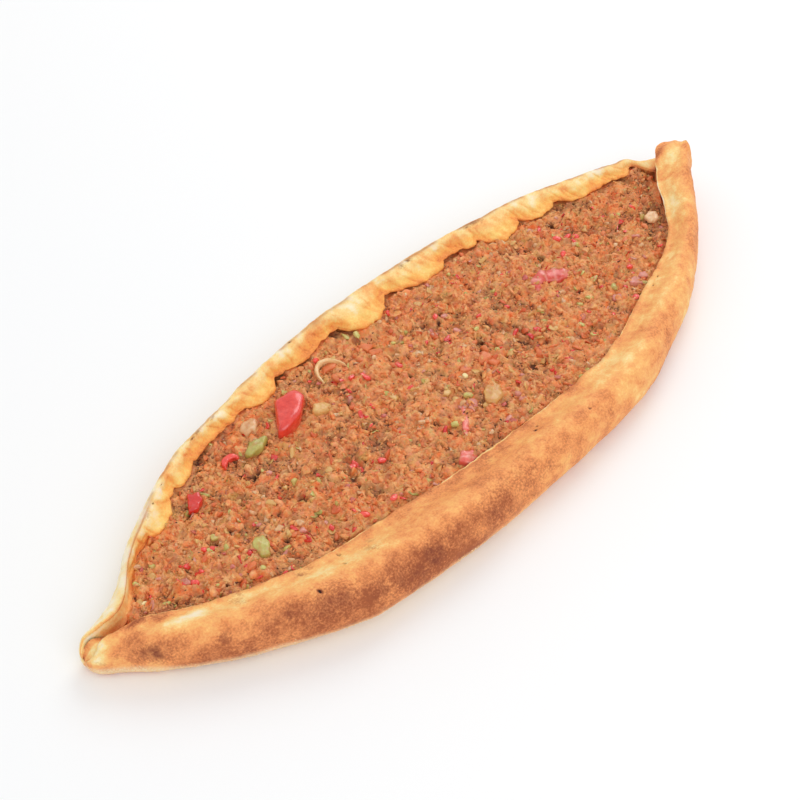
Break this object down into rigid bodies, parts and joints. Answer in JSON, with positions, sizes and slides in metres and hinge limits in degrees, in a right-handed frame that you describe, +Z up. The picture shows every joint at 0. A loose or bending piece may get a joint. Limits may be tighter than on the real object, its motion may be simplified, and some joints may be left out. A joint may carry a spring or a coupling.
{
  "type": "turkish pide",
  "caption": "Boat-shaped baked flatbread with folded rims and pinched tips, filled with seasoned minced meat, chopped pepper, tomato and onion; lies flat on its base.",
  "frame": {"origin": "on the resting plane, under the middle of the bread's bounding box", "axes": "+X along the bread to its raised tip, +Y to the scalloped rim, +Z up"},
  "size_m": [0.3992, 0.14, 0.0326],
  "materials": {
    "crust": "baked bread crust, matt with a faint sheen",
    "meat": "cooked minced meat, moist and granular",
    "pepper_red": "cooked red pepper, glossy skin",
    "tomato": "cooked tomato, moist",
    "onion": "cooked onion, moist and slightly clear",
    "pepper_green": "cooked green pepper, moist"
  },
  "bodies": {
    "root": {"dough": "crust", "filling": "meat", "red_pepper_chunk": "pepper_red", "red_pepper_strip": "pepper_red", "red_pepper_end": "pepper_red", "tomato_piece": "tomato", "tomato_piece_small": "tomato", "tomato_skin_strip": "tomato", "onion_slice": "onion", "onion_lump": "onion", "onion_dice": "onion", "green_pepper_strip": "pepper_green", "green_pepper_dice": "pepper_green", "pale_pepper_slice": "pepper_green", "yellow_pepper_dice": "pepper_green"}
  },
  "joints": []
}
